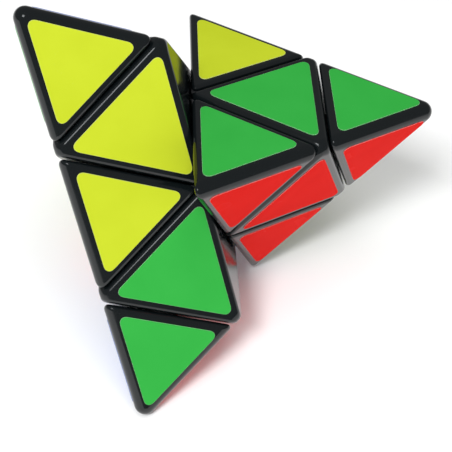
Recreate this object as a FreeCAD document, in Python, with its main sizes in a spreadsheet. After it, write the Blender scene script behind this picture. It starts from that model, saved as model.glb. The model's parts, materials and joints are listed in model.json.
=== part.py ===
"""Pyramid twisty puzzle: a tetrahedron cut into tips, axial pieces and edge pieces.

Four screws hold four axial pieces on one core.  The edge pieces are held by feet that
reach under the axial pieces, and each tip snaps into the top plate of its axial piece.
One corner layer stands part-way through a turn, and the puzzle lies on two tips and on
one corner of that layer.

Two frames are used.  The core frame has its origin in the middle of the core and +Z
along the axis of corner 0.  The finished parts lie in the resting frame: +Z up from the
table, +X along the level direction nearest to the axis of corner 0, and the origin under
the middle of the puzzle, at table height.
"""
import FreeCAD
import Part
import Sketcher
import math
import os

from FreeCAD import Placement, Rotation, Vector

SIZES = {
    # The whole pyramid
    "edge_length": 105.0,        # edge of the pyramid, measured to its sharp corners
    "outer_rounding": 2.5,       # radius along the pyramid's edges and on its corners
    "cut_rounding": 0.8,         # radius along the edges where two pieces meet
    "cut_gap": 0.2,              # each piece stops this far short of a cutting plane
    "wall": 2.0,                 # wall of the hollow mouldings
    "fit_gap": 0.1,              # gap round an insert inside its shell
    "blank_size": 240.0,         # width of the flat blanks that the pieces are cut from
    "layer_turn": -67.0,         # how far corner layer 0 is turned, in degrees
    # Core, and the spherical space that the feet turn in
    "core_radius": 11.4,
    "boss_radius": 4.6,
    "boss_top": 12.2,
    "thread_bore": 1.35,
    "thread_floor": 4.0,
    "foot_inner": 11.8,
    "foot_outer": 15.8,
    "bowl_radius": 16.1,
    "foot_angle": 75.0,          # half angle of the cone that bounds the feet
    "foot_angle_gap": 1.0,
    "cone_height": 20.0,
    "seat_radius": 20.4,         # sphere where an edge shell sits on its foot
    "tongue_radius": 24.0,       # how far the foot's tongue reaches into the shell
    # Hub of an axial piece, with its screw, washer and spring
    "hub_radius": 5.2,
    "hub_bottom": 12.3,
    "hub_top": 30.5,
    "hub_bore": 3.6,
    "ledge_top": 15.0,
    "ledge_bore": 1.58,
    "dome_radius": 18.3,
    "screw_radius": 1.5,
    "screw_end": 4.5,
    "head_bottom": 22.6,
    "head_radius": 2.9,
    "head_top": 24.8,
    "head_rounding": 0.6,
    "recess_length": 3.4,
    "recess_width": 0.8,
    "recess_depth": 1.3,
    "washer_bore": 1.65,
    "washer_radius": 3.3,
    "washer_thickness": 0.7,
    "spring_radius": 2.35,
    "spring_wire": 0.35,
    "spring_turns": 5.0,
    # Snap joint between a tip and the axial piece below it
    "top_plate": 2.4,
    "plug_hole": 4.38,
    "plug_plate": 2.2,
    "skirt_radius": 4.3,
    "skirt_bore": 3.1,
    "skirt_bottom": 31.6,
    "lip_radius": 4.85,
    "lip_top": 32.9,
    "slot_width": 1.0,
    "slot_top": 35.0,
    # Stickers
    "sticker_thickness": 0.2,
    "sticker_corner": 1.4,
    "tip_outer_margin": 3.27,    # from the pyramid's edge to a tip's sticker
    "tip_cut_margin": 2.46,      # from the tip's cut to its sticker
    "axial_tip_margin": 1.95,
    "axial_deep_margin": 1.73,
    "edge_outer_margin": 3.6,
    "edge_deep_margin": 2.35,
}

# Distances from the core's middle along a corner's axis: the outer face opposite the
# corner, the deep cut below the corner's layer, and the cut below its tip.
FACE = "(-sizes.edge_length / sqrt(24))"
DEEP_CUT = "(sizes.edge_length / sqrt(216))"
TIP_CUT = "(5 * sizes.edge_length / sqrt(216))"
FAR = "(sizes.blank_size / 2)"

# Corner 0 is the one whose layer is turned.  The others go round it in thirds of a turn.
CORNERS = ("right", "top", "front", "back")
EDGES = {
    (0, 1): "layer_back",
    (0, 2): "layer_front",
    (0, 3): "layer_low",
    (1, 2): "top_front",
    (1, 3): "top_back",
    (2, 3): "front_back",
}

# Colour of each piece on each face it shows.  Face N is the one opposite corner N.
CORNER_COLOURS = (
    {1: "red", 2: "yellow", 3: "green"},
    {0: "green", 2: "blue", 3: "yellow"},
    {0: "blue", 1: "red", 3: "green"},
    {0: "yellow", 1: "blue", 2: "red"},
)
EDGE_COLOURS = {
    (0, 1): {2: "blue", 3: "yellow"},
    (0, 2): {1: "red", 3: "green"},
    (0, 3): {1: "red", 2: "yellow"},
    (1, 2): {0: "green", 3: "yellow"},
    (1, 3): {0: "blue", 2: "green"},
    (2, 3): {0: "red", 1: "blue"},
}

doc = FreeCAD.newDocument("pyramid_twisty_puzzle")


# ---------------------------------------------------------------- sheet and directions

def make_sheet():
    """Write every driving size into the sheet, one row each, with its name as alias."""
    sheet = doc.addObject("Spreadsheet::Sheet", "sizes")
    for row, (alias, size) in enumerate(SIZES.items(), start=1):
        sheet.set(f"A{row}", alias)
        sheet.set(f"B{row}", str(size))
        sheet.setAlias(f"B{row}", alias)
    doc.recompute()
    return sheet


sheet = make_sheet()


def value(expression):
    """Number that a sheet expression gives now."""
    return float(sheet.evalExpression(str(expression)))


def corner_axes():
    """Unit vectors from the core's middle to the four corners."""
    across = math.sqrt(8) / 3
    axes = [Vector(0, 0, 1)]
    for angle in (0, 120, 240):
        turned = math.radians(angle)
        axes.append(Vector(across * math.cos(turned), across * math.sin(turned), -1 / 3))
    return axes


AXES = corner_axes()


def corner_rotation(corner):
    """Rotation that carries corner 0 to another corner and the pyramid onto itself."""
    if corner == 0:
        return Rotation()
    return Rotation(AXES[0] + AXES[corner], 180)


def edge_frame(first, second):
    """Rotation whose Z points to an edge's middle and whose X runs along the edge."""
    outward = AXES[first] + AXES[second]
    along = AXES[first] - AXES[second]
    return Rotation(along, outward.cross(along), outward, "ZXY")


def edge_rotation(first, second):
    """Rotation that carries edge 0-1 to another edge and the pyramid onto itself."""
    return edge_frame(first, second) * edge_frame(0, 1).inverted()


# ---------------------------------------------------------------------- basic features

def primitive(kind, name, **expressions):
    """Part primitive with each of its sizes bound to a sheet expression."""
    shape = doc.addObject(kind, name)
    for size, expression in expressions.items():
        shape.setExpression(size, str(expression))
    return shape


def slab(name, corner, low, high):
    """Wide flat blank between two planes that are square to a corner's axis."""
    blank = primitive("Part::Box", name, Length="sizes.blank_size",
                      Width="sizes.blank_size", Height=f"{high} - {low}")
    half = value("sizes.blank_size / 2")
    to_corner = Rotation(Vector(0, 0, 1), AXES[corner])
    centred = Placement(Vector(-half, -half, value(low)), Rotation())
    blank.Placement = Placement(Vector(), to_corner) * centred
    return blank


def common(name, *shapes):
    """What all the shapes share."""
    result = shapes[0]
    for count, tool in enumerate(shapes[1:], start=1):
        step = doc.addObject("Part::Common", f"{name}_{count}")
        step.Base = result
        step.Tool = tool
        result = step
    return result


def cut(name, base, *tools):
    """The base with each tool taken away."""
    result = base
    for count, tool in enumerate(tools, start=1):
        step = doc.addObject("Part::Cut", f"{name}_{count}")
        step.Base = result
        step.Tool = tool
        result = step
    return result


def fuse(name, *shapes):
    """The shapes made one solid."""
    joined = doc.addObject("Part::MultiFuse", name)
    joined.Shapes = list(shapes)
    joined.Refine = True
    return joined


def ball(name, radius):
    """Sphere round the core's middle."""
    return primitive("Part::Sphere", name, Radius=radius)


def rod(name, radius, low, high, corner=0):
    """Cylinder on a corner's axis between two distances from the core's middle."""
    cylinder = primitive("Part::Cylinder", name, Radius=radius, Height=f"({high}) - ({low})")
    to_corner = Rotation(Vector(0, 0, 1), AXES[corner])
    start = AXES[corner] * value(low)
    cylinder.Placement = Placement(start, to_corner)
    return cylinder


def round_edges(name, base, radius, chosen):
    """Fillet of the edges that the test chooses."""
    doc.recompute()
    size = value(radius)
    fillet = doc.addObject("Part::Fillet", name)
    fillet.Base = base
    picked = [n for n, edge in enumerate(base.Shape.Edges, start=1) if chosen(edge)]
    fillet.Edges = [(n, size, size) for n in picked]
    return fillet


# -------------------------------------------------------------- the pieces' outer shapes

def bounded(name, limits, inset):
    """Solid between planes: limits gives each corner's (low, high), None where open.

    Every plane is moved inwards by the inset.
    """
    slabs = []
    for corner, (low, high) in limits.items():
        bottom = f"({low} + {inset})"
        top = FAR if high is None else f"({high} - {inset})"
        slabs.append(slab(f"{name}_slab_{corner}", corner, bottom, top))
    return common(name, *slabs)


def tip_limits():
    """Planes of the tip at corner 0."""
    limits = {corner: (FACE, None) for corner in (1, 2, 3)}
    limits[0] = (f"({TIP_CUT} + sizes.cut_gap)", None)
    return limits


def axial_limits():
    """Planes of the axial piece at corner 0: an octahedron."""
    limits = {corner: (FACE, f"({DEEP_CUT} - sizes.cut_gap)") for corner in (1, 2, 3)}
    limits[0] = (f"({DEEP_CUT} + sizes.cut_gap)", f"({TIP_CUT} - sizes.cut_gap)")
    return limits


def edge_limits():
    """Planes of the edge piece between corners 0 and 1."""
    limits = {corner: (FACE, None) for corner in (2, 3)}
    for corner in (0, 1):
        limits[corner] = (f"({DEEP_CUT} + sizes.cut_gap)", None)
    return limits


def rounded_pyramid():
    """The whole pyramid with rounded edges and corners."""
    limits = {corner: (FACE, None) for corner in range(4)}
    sharp = bounded("pyramid", limits, "0")
    return round_edges("pyramid_rounded", sharp, "sizes.outer_rounding", lambda edge: True)


def rounded_piece(name, limits, pyramid):
    """Piece with small round edges, inside the pyramid's larger outer rounding.

    The planes are moved in by the small radius and the solid is grown by it again,
    which rounds each edge and each corner.
    """
    inner = bounded(f"{name}_inner", limits, "sizes.cut_rounding")
    grown = doc.addObject("Part::Offset", f"{name}_grown")
    grown.Source = inner
    grown.setExpression("Value", "sizes.cut_rounding")
    grown.Join = "Arc"
    return common(f"{name}_outside", grown, pyramid)


# ------------------------------------------------------------------------- mouldings

def hollow(name, limits, opening, gap):
    """Space inside a piece's walls, running out through its opening.

    The opening names the corner whose lower plane is left off.  The gap is how far an
    insert in this space stays clear of the walls.
    """
    inside = dict(limits)
    if opening is not None:
        inside[opening] = (f"({limits[opening][0]} - 4 * sizes.wall)", limits[opening][1])
    return bounded(name, inside, f"(sizes.wall + {gap})")


def tip_shell(pyramid):
    """Hollow tip with three outer faces, open towards the axial piece."""
    outside = rounded_piece("tip", tip_limits(), pyramid)
    inside = hollow("tip_hollow", tip_limits(), 0, "0")
    return cut("tip_shell_part", outside, inside)


def tip_plug():
    """Plate that closes the tip, with a split skirt that snaps into the axial piece."""
    low = f"({TIP_CUT} + sizes.cut_gap)"
    plate_top = f"({low} + sizes.plug_plate)"
    limits = {corner: (f"({FACE} + sizes.wall + sizes.fit_gap)", None) for corner in (1, 2, 3)}
    limits[0] = (low, plate_top)
    plate = bounded("plug_plate", limits, "0")
    skirt = rod("plug_skirt", "sizes.skirt_radius", "sizes.skirt_bottom", low)
    lip = rod("plug_lip", "sizes.lip_radius", "sizes.skirt_bottom", "sizes.lip_top")
    body = fuse("plug_body", plate, skirt, lip)
    bore = rod("plug_bore", "sizes.skirt_bore", "(sizes.skirt_bottom - 1)", "sizes.slot_top")
    slots = []
    for angle in (0, 90):
        slot = primitive("Part::Box", f"plug_slot_{angle}", Length="4 * sizes.lip_radius",
                         Width="sizes.slot_width", Height="sizes.slot_top - sizes.skirt_bottom + 1")
        corner = Vector(-2 * value("sizes.lip_radius"), -value("sizes.slot_width") / 2, 0)
        upright = Placement(Vector(0, 0, value("sizes.skirt_bottom") - 1),
                            Rotation(Vector(0, 0, 1), angle))
        slot.Placement = upright * Placement(corner, Rotation())
        slots.append(slot)
    return cut("tip_plug_part", body, bore, *slots)


def axial_shell(pyramid, bowl):
    """Hollow octahedron: open to the bowl below, with a round hole in its top plate."""
    outside = rounded_piece("axial", axial_limits(), pyramid)
    limits = axial_limits()
    limits[0] = (limits[0][0], f"({limits[0][1]} - sizes.top_plate + sizes.wall)")
    inside = hollow("axial_hollow", limits, None, "0")
    hole = rod("axial_top_hole", "sizes.plug_hole", "sizes.hub_top", TIP_CUT)
    return cut("axial_shell_part", outside, inside, bowl, hole)


def axial_hub(bowl):
    """Sleeve for the screw and spring, with a dome that closes the shell's mouth."""
    closing = hollow("hub_inside", axial_limits(), None, "sizes.fit_gap")
    dome = cut("hub_dome", common("hub_dome_blank", closing, ball("hub_ball", "sizes.dome_radius")),
               bowl)
    sleeve = rod("hub_sleeve", "sizes.hub_radius", "sizes.hub_bottom", "sizes.hub_top")
    body = fuse("hub_body", dome, sleeve)
    ledge = rod("hub_ledge_bore", "sizes.ledge_bore", "sizes.thread_floor", "sizes.hub_top")
    bore = rod("hub_spring_bore", "sizes.hub_bore", "sizes.ledge_top", "(sizes.hub_top + 1)")
    return cut("axial_hub_part", body, ledge, bore)


def edge_shell(pyramid):
    """Hollow edge cap with two outer faces, seated on the foot along a sphere."""
    outside = rounded_piece("edge", edge_limits(), pyramid)
    inside = hollow("edge_hollow", edge_limits(), None, "0")
    seat = ball("edge_seat", "sizes.seat_radius")
    return cut("edge_shell_part", outside, inside, seat)


def foot_cone(name, corner, gap):
    """Cone round a corner's axis that bounds the feet, opened or closed by the gap."""
    cone = primitive("Part::Cone", name, Radius1="0", Height="sizes.cone_height",
                     Radius2=f"sizes.cone_height * tan(sizes.foot_angle + {gap})")
    cone.Placement = Placement(Vector(), Rotation(Vector(0, 0, 1), AXES[corner]))
    return cone


def edge_foot():
    """Foot that hooks under two axial pieces, and the wedge that carries the cap."""
    blank = cut("foot_layer", ball("foot_outside", "sizes.foot_outer"),
                ball("foot_inside", "sizes.foot_inner"))
    inner_cones = [foot_cone(f"foot_cone_{n}", n, "-sizes.foot_angle_gap") for n in (0, 1)]
    outer_cones = [foot_cone(f"foot_cone_{n}", n, "sizes.foot_angle_gap") for n in (2, 3)]
    hook = cut("foot_hook", common("foot_lens", blank, *inner_cones), *outer_cones)
    root = bounded("wedge_root", edge_limits(), "0")
    seat = ball("wedge_ball", "(sizes.seat_radius - sizes.fit_gap / 2)")
    wedge = common("wedge", root, seat)
    reach = hollow("tongue_inside", edge_limits(), None, "sizes.fit_gap")
    tongue = common("tongue", reach, ball("tongue_ball", "sizes.tongue_radius"))
    return fuse("edge_foot_part", hook, wedge, tongue)


def core():
    """Ball with four bosses, each drilled for a screw."""
    solids = [ball("core_ball", "sizes.core_radius")]
    bores = []
    for corner, place in enumerate(CORNERS):
        solids.append(rod(f"boss_{place}", "sizes.boss_radius", "0", "sizes.boss_top", corner))
        bores.append(rod(f"thread_{place}", "sizes.thread_bore", "sizes.thread_floor",
                         "(sizes.boss_top + 1)", corner))
    return cut("core_part", fuse("core_body", *solids), *bores)


# ---------------------------------------------------------------- screw, washer, spring

def origin_plane(body, role):
    """One of a body's own origin planes."""
    return next(f for f in body.Origin.OriginFeatures if f.Role == role)


def attached_sketch(body, name, role, height="0"):
    """Sketch on one of the body's origin planes, raised by a sheet expression."""
    sketch = body.newObject("Sketcher::SketchObject", name)
    sketch.AttachmentSupport = (origin_plane(body, role), [""])
    sketch.MapMode = "FlatFace"
    sketch.setExpression(".AttachmentOffset.Base.z", height)
    return sketch


def bind(sketch, constraint, expression):
    """Add a sketch constraint and drive it from the sheet."""
    number = sketch.addConstraint(constraint)
    sketch.setExpression(f"Constraints[{number}]", expression)


def draw_profile(sketch, points):
    """Closed outline through (radius, height) points given as sheet expressions."""
    spots = [Vector(value(x), value(y), 0) for x, y in points]
    total = len(points)
    for n in range(total):
        sketch.addGeometry(Part.LineSegment(spots[n], spots[(n + 1) % total]), False)
    for n in range(total):
        sketch.addConstraint(Sketcher.Constraint("Coincident", n, 2, (n + 1) % total, 1))
    for n, (x, y) in enumerate(points):
        if x == "0":
            sketch.addConstraint(Sketcher.Constraint("PointOnObject", n, 1, -2))
        else:
            bind(sketch, Sketcher.Constraint("DistanceX", -1, 1, n, 1, spots[n].x), x)
        bind(sketch, Sketcher.Constraint("DistanceY", -1, 1, n, 1, spots[n].y), y)


def draw_rectangle(sketch, length, width):
    """Rectangle centred on the sketch's origin."""
    x = value(length) / 2
    y = value(width) / 2
    spots = [Vector(-x, -y, 0), Vector(x, -y, 0), Vector(x, y, 0), Vector(-x, y, 0)]
    for n in range(4):
        sketch.addGeometry(Part.LineSegment(spots[n], spots[(n + 1) % 4]), False)
        sketch.addConstraint(Sketcher.Constraint("Horizontal" if n % 2 == 0 else "Vertical", n))
    for n in range(4):
        sketch.addConstraint(Sketcher.Constraint("Coincident", n, 2, (n + 1) % 4, 1))
    sketch.addConstraint(Sketcher.Constraint("Symmetric", 0, 1, 1, 2, -1, 1))
    bind(sketch, Sketcher.Constraint("DistanceX", 0, 1, 0, 2, 2 * x), length)
    bind(sketch, Sketcher.Constraint("DistanceY", 1, 1, 1, 2, 2 * y), width)


def draw_ring(sketch, *radii):
    """Circles round the sketch's origin."""
    for n, radius in enumerate(radii):
        circle = Part.Circle(Vector(), Vector(0, 0, 1), value(radius))
        sketch.addGeometry(circle, False)
        sketch.addConstraint(Sketcher.Constraint("Coincident", n, 3, -1, 1))
        bind(sketch, Sketcher.Constraint("Radius", n, value(radius)), radius)


def tension_screw():
    """Pan head screw with a cross recess."""
    body = doc.addObject("PartDesign::Body", "screw_body")
    outline = attached_sketch(body, "screw_outline", "XZ_Plane")
    draw_profile(outline, [
        ("0", "sizes.screw_end"),
        ("sizes.screw_radius", "sizes.screw_end"),
        ("sizes.screw_radius", "sizes.head_bottom"),
        ("sizes.head_radius", "sizes.head_bottom"),
        ("sizes.head_radius", "sizes.head_top"),
        ("0", "sizes.head_top"),
    ])
    turned = body.newObject("PartDesign::Revolution", "screw_turned")
    turned.Profile = outline
    turned.ReferenceAxis = (outline, ["V_Axis"])
    turned.Angle = 360
    doc.recompute()
    rim = [f"Edge{n}" for n, edge in enumerate(turned.Shape.Edges, start=1)
           if edge.Closed and abs(edge.CenterOfMass.z - value("sizes.head_top")) < 1e-6]
    softened = body.newObject("PartDesign::Fillet", "screw_head_rounding")
    softened.Base = (turned, rim)
    softened.setExpression("Radius", "sizes.head_rounding")
    doc.recompute()
    arms = (("along", "sizes.recess_length", "sizes.recess_width"),
            ("across", "sizes.recess_width", "sizes.recess_length"))
    for arm, length, width in arms:
        before = body.Shape.Volume
        slot = attached_sketch(body, f"recess_{arm}", "XY_Plane", "sizes.head_top")
        draw_rectangle(slot, length, width)
        pocket = body.newObject("PartDesign::Pocket", f"recess_{arm}_pocket")
        pocket.Profile = slot
        pocket.setExpression("Length", "sizes.recess_depth")
        doc.recompute()
        if body.Shape.Volume >= before:
            raise RuntimeError(f"the screw's recess {arm} cut nothing")
    return body


def tension_washer():
    """Flat washer under the screw's head."""
    body = doc.addObject("PartDesign::Body", "washer_body")
    ring = attached_sketch(body, "washer_outline", "XY_Plane",
                           "sizes.head_bottom - sizes.washer_thickness")
    draw_ring(ring, "sizes.washer_bore", "sizes.washer_radius")
    plate = body.newObject("PartDesign::Pad", "washer_plate")
    plate.Profile = ring
    plate.setExpression("Length", "sizes.washer_thickness")
    doc.recompute()
    return body


def tension_spring():
    """Round wire wound between the hub's ledge and the washer."""
    room = "(sizes.head_bottom - sizes.washer_thickness - sizes.ledge_top - 2 * sizes.spring_wire)"
    helix = primitive("Part::Helix", "spring_line", Radius="sizes.spring_radius", Height=room,
                      Pitch=f"{room} / sizes.spring_turns")
    start = value("sizes.ledge_top + sizes.spring_wire")
    helix.Placement = Placement(Vector(0, 0, start), Rotation())
    wire = primitive("Part::Circle", "spring_section", Radius="sizes.spring_wire")
    wire.Placement = Placement(Vector(value("sizes.spring_radius"), 0, start),
                               Rotation(Vector(1, 0, 0), 90))
    doc.recompute()
    coil = doc.addObject("Part::Sweep", "spring_part")
    coil.Sections = [wire]
    coil.Spine = (helix, ["Edge1"])
    coil.Solid = True
    coil.Frenet = True
    return coil


# ---------------------------------------------------------------------------- stickers

def sticker(name, side, other):
    """Triangle with round corners; one side's margin differs from the other two."""
    margins = f"({side} + 2 * {other})"
    plate = primitive("Part::Prism", f"{name}_plate", Height="sizes.sticker_thickness",
                      Circumradius=f"sizes.edge_length / sqrt(27) - 2 * {margins} / 3")
    plate.Polygon = 3
    tall = value("sizes.sticker_thickness")
    return round_edges(name, plate, "sizes.sticker_corner",
                       lambda edge: abs(edge.Vertexes[0].Z - edge.Vertexes[-1].Z) > tall / 2)


def sticker_place(face, pointing, centre, shift):
    """Placement of a sticker on a face.

    The pointing vector gives the direction in which its odd side looks.  The centre is
    how far the piece's own triangle lies from the face's middle that way, and the shift
    is how much further the sticker's middle lies.
    """
    outward = AXES[face] * -1
    level = pointing - outward * pointing.dot(outward)
    level.normalize()
    turn = Rotation(level * -1, outward.cross(level * -1), outward, "ZXY")
    spot = AXES[face] * value(FACE) + level * (centre + shift)
    return Placement(spot, turn)


def sticker_shift(side, other):
    """How far unequal margins move a sticker towards its odd side."""
    return value(f"2 * ({other} - {side}) / 3")


def corner_stickers(kind, corner):
    """(colour, placement) of the three stickers of a tip or an axial piece."""
    third = value("sizes.edge_length / sqrt(27)")
    if kind == "tip":
        pointing = AXES[corner] * -1
        centre = -2 * third
        shift = sticker_shift("sizes.tip_cut_margin", "sizes.tip_outer_margin")
    else:
        pointing = AXES[corner]
        centre = third
        shift = sticker_shift("sizes.axial_tip_margin", "sizes.axial_deep_margin")
    return [(colour, sticker_place(face, pointing, centre, shift))
            for face, colour in CORNER_COLOURS[corner].items()]


def edge_stickers(pair):
    """(colour, placement) of the two stickers of an edge piece."""
    third = value("sizes.edge_length / sqrt(27)")
    pointing = AXES[pair[0]] + AXES[pair[1]]
    shift = sticker_shift("sizes.edge_outer_margin", "sizes.edge_deep_margin")
    return [(colour, sticker_place(face, pointing, third, shift))
            for face, colour in EDGE_COLOURS[pair].items()]


# ---------------------------------------------------------------------------- assembly

def build_masters():
    """One of each different moulding, fastener and sticker, in the core frame."""
    pyramid = rounded_pyramid()
    bowl = ball("bowl", "sizes.bowl_radius")
    masters = {
        "core": core(),
        "tip_shell": tip_shell(pyramid),
        "tip_plug": tip_plug(),
        "axial_shell": axial_shell(pyramid, bowl),
        "axial_hub": axial_hub(bowl),
        "edge_shell": edge_shell(pyramid),
        "edge_foot": edge_foot(),
        "screw": tension_screw(),
        "washer": tension_washer(),
        "spring": tension_spring(),
        "tip_sticker": sticker("tip_sticker_part", "sizes.tip_cut_margin",
                               "sizes.tip_outer_margin"),
        "axial_sticker": sticker("axial_sticker_part", "sizes.axial_tip_margin",
                                 "sizes.axial_deep_margin"),
        "edge_sticker": sticker("edge_sticker_part", "sizes.edge_outer_margin",
                                "sizes.edge_deep_margin"),
    }
    doc.recompute()
    return masters


def instance(name, master, place):
    """Copy of a master at its own place."""
    link = doc.addObject("App::Link", name)
    link.LinkedObject = master
    link.Placement = place
    return link


def group(name, members):
    """Several separate solids that make one node."""
    bundle = doc.addObject("Part::Compound", name)
    bundle.Links = members
    return bundle


def fixed_place():
    """Placement of what belongs to the unturned part of the puzzle."""
    return Placement()


def layer_place():
    """Placement of what belongs to the turned corner layer."""
    return Placement(Vector(), Rotation(AXES[0], value("sizes.layer_turn")))


def body_place(corners):
    """The layer's placement for pieces that belong to corner 0."""
    return layer_place() if 0 in corners else fixed_place()


def add_corner_nodes(masters, nodes):
    """Tip, axial piece and spring of each corner."""
    for corner, place_name in enumerate(CORNERS):
        upright = Placement(Vector(), corner_rotation(corner))
        place = body_place([corner]) * upright
        for part in ("tip_shell", "tip_plug", "axial_shell", "axial_hub"):
            piece, half = part.split("_")
            label = f"{piece}_{place_name}_{half}"
            nodes[label] = instance(label, masters[part], place)
        label = f"spring_{place_name}"
        nodes[label] = instance(label, masters["spring"], upright)


def add_edge_nodes(masters, nodes):
    """Shell and foot of each edge piece."""
    for pair, place_name in EDGES.items():
        place = body_place(pair) * Placement(Vector(), edge_rotation(*pair))
        for half in ("shell", "foot"):
            label = f"edge_{place_name}_{half}"
            nodes[label] = instance(label, masters[f"edge_{half}"], place)


def add_fastener_nodes(masters, nodes):
    """The four screws as one node, and the four washers as another."""
    for kind in ("screw", "washer"):
        members = []
        for corner, place_name in enumerate(CORNERS):
            upright = Placement(Vector(), corner_rotation(corner))
            members.append(instance(f"{kind}_{place_name}", masters[kind], upright))
        nodes[f"tension_{kind}s"] = group(f"tension_{kind}s", members)


def add_sticker_nodes(masters, nodes):
    """Stickers: one node for each colour on each body, and one for each tip sticker."""
    bundles = {}

    def add(label, kind, place):
        members = bundles.setdefault(label, [])
        name = f"{label}_piece_{len(members) + 1}"
        members.append(instance(name, masters[f"{kind}_sticker"], place))

    for corner, place_name in enumerate(CORNERS):
        home = "layer" if corner == 0 else "fixed"
        for colour, place in corner_stickers("axial", corner):
            add(f"stickers_{home}_{colour}", "axial", body_place([corner]) * place)
        for colour, place in corner_stickers("tip", corner):
            add(f"sticker_tip_{place_name}_{colour}", "tip", body_place([corner]) * place)
    for pair in EDGES:
        home = "layer" if 0 in pair else "fixed"
        for colour, place in edge_stickers(pair):
            add(f"stickers_{home}_{colour}", "edge", body_place(pair) * place)
    for label, members in bundles.items():
        nodes[label] = group(label, members)


def leaning(angle):
    """Rotation into the resting frame, with the axis of corner 0 this far above level."""
    lean = math.radians(angle)
    level = Vector(-math.sin(lean), 0, math.cos(lean))
    upward = Vector(math.cos(lean), 0, math.sin(lean))
    return Rotation(level, Vector(0, -1, 0), upward, "ZXY").inverted()


def box_of(shape, turn):
    """Exact box of a shape after a rotation about the core's middle."""
    turned = shape.copy()
    turned.Placement = Placement(Vector(), turn) * turned.Placement
    return turned.optimalBoundingBox(True, False)


def resting_lean(nodes):
    """Lean at which the front tip and the layer's low corner touch the same table."""
    tip = Part.getShape(nodes["tip_front_shell"])
    low = Part.getShape(nodes["edge_layer_low_shell"])

    def drop(angle):
        turn = leaning(angle)
        return box_of(tip, turn).ZMin - box_of(low, turn).ZMin

    below, above = 10.0, 30.0
    rising = drop(above) > drop(below)
    while above - below > 0.001:
        middle = (below + above) / 2
        if (drop(middle) > 0) == rising:
            above = middle
        else:
            below = middle
    return (below + above) / 2


def lay_down(nodes):
    """Move every node into the resting frame, standing on the table over the origin."""
    lean = resting_lean(nodes)
    turn = leaning(lean)
    whole = FreeCAD.BoundBox()
    for node in nodes.values():
        whole.add(box_of(Part.getShape(node), turn))
    centre = Vector(-whole.Center.x, -whole.Center.y, -whole.ZMin)
    resting = Placement(centre, turn)
    for node in nodes.values():
        node.Placement = resting * node.Placement
    doc.recompute()
    return lean, centre, whole


def check_document():
    """Stop if any feature failed."""
    failed = [thing.Name for thing in doc.Objects
              if "Invalid" in thing.State or "Error" in thing.State]
    if failed:
        raise RuntimeError(f"failed features: {failed}")


def write_parts(nodes):
    """Write each node's solids to its own STEP file."""
    os.makedirs("parts", exist_ok=True)
    for label, node in nodes.items():
        node.Label = label
        shape = Part.getShape(node)
        if shape.isNull() or not shape.isValid() or not shape.Solids:
            raise RuntimeError(f"{label} has no valid solid")
        shape.exportStep(f"parts/{label}.step")


def main():
    """Build the puzzle, lay it down and write its parts."""
    masters = build_masters()
    nodes = {"core": instance("core", masters["core"], Placement())}
    add_fastener_nodes(masters, nodes)
    add_corner_nodes(masters, nodes)
    add_edge_nodes(masters, nodes)
    add_sticker_nodes(masters, nodes)
    doc.recompute()
    lean, centre, whole = lay_down(nodes)
    check_document()
    write_parts(nodes)
    print(f"nodes {len(nodes)}, lean {lean:.3f} degrees, core's middle at"
          f" ({centre.x:.3f}, {centre.y:.3f}, {centre.z:.3f}) mm,"
          f" size {whole.XLength:.2f} x {whole.YLength:.2f} x {whole.ZLength:.2f} mm")


main()
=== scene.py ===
"""Looks of a four-cornered turning puzzle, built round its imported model.

The mouldings and the sticker films are modelled once each in the core's frame, with
corner 0 up, and copied to their places.  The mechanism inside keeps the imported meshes
and gets its finishes here.  Lengths are in metres.
"""

import json
import logging
import math
from collections.abc import Callable, Iterator
from contextlib import contextmanager
from dataclasses import dataclass, field
from enum import Enum

import bmesh
import bpy
from mathutils import Matrix, Vector

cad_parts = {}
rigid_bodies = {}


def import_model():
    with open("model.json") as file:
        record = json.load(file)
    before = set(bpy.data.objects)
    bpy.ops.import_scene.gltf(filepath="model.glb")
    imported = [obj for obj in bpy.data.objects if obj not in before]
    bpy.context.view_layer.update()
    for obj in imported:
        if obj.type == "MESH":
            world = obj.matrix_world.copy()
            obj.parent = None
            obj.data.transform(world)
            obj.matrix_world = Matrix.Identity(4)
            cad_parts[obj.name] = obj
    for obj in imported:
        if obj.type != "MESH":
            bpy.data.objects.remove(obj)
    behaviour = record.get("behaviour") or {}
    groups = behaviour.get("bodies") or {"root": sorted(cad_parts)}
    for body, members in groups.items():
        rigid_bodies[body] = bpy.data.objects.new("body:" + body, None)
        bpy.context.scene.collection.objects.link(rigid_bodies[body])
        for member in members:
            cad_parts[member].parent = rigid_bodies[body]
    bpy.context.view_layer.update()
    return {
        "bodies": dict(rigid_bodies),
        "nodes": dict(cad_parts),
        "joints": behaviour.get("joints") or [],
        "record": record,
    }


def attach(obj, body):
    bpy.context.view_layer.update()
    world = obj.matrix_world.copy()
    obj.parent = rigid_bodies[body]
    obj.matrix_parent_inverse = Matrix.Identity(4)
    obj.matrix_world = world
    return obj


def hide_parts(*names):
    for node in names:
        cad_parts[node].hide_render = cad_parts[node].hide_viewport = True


Socket = bpy.types.NodeSocket
Outputs = bpy.types.NodeOutputs
Material = bpy.types.Material
Edge = bmesh.types.BMEdge

ON_PLANE = 2e-6  # a point this near to a plane lies in it
SLICE_TOLERANCE = 1e-7
BALL_SEGMENTS, BALL_RINGS = 96, 64
ROD_SIDES = 64
OUTER_STEPS, CUT_STEPS = 12, 5  # flats in a rounding of an outer edge and of a cut edge
WEIGHT_OF_FACES = 80
LOG = logging.getLogger("puzzle")


# ------------------------------------------------------------------- names and sizes

class Corner(Enum):
    """The four corners, named by where they point as the puzzle lies."""

    RIGHT = 0
    TOP = 1
    FRONT = 2
    BACK = 3

    @property
    def place(self) -> str:
        """Name of the corner inside the names of nodes."""
        return self.name.lower()


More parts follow.
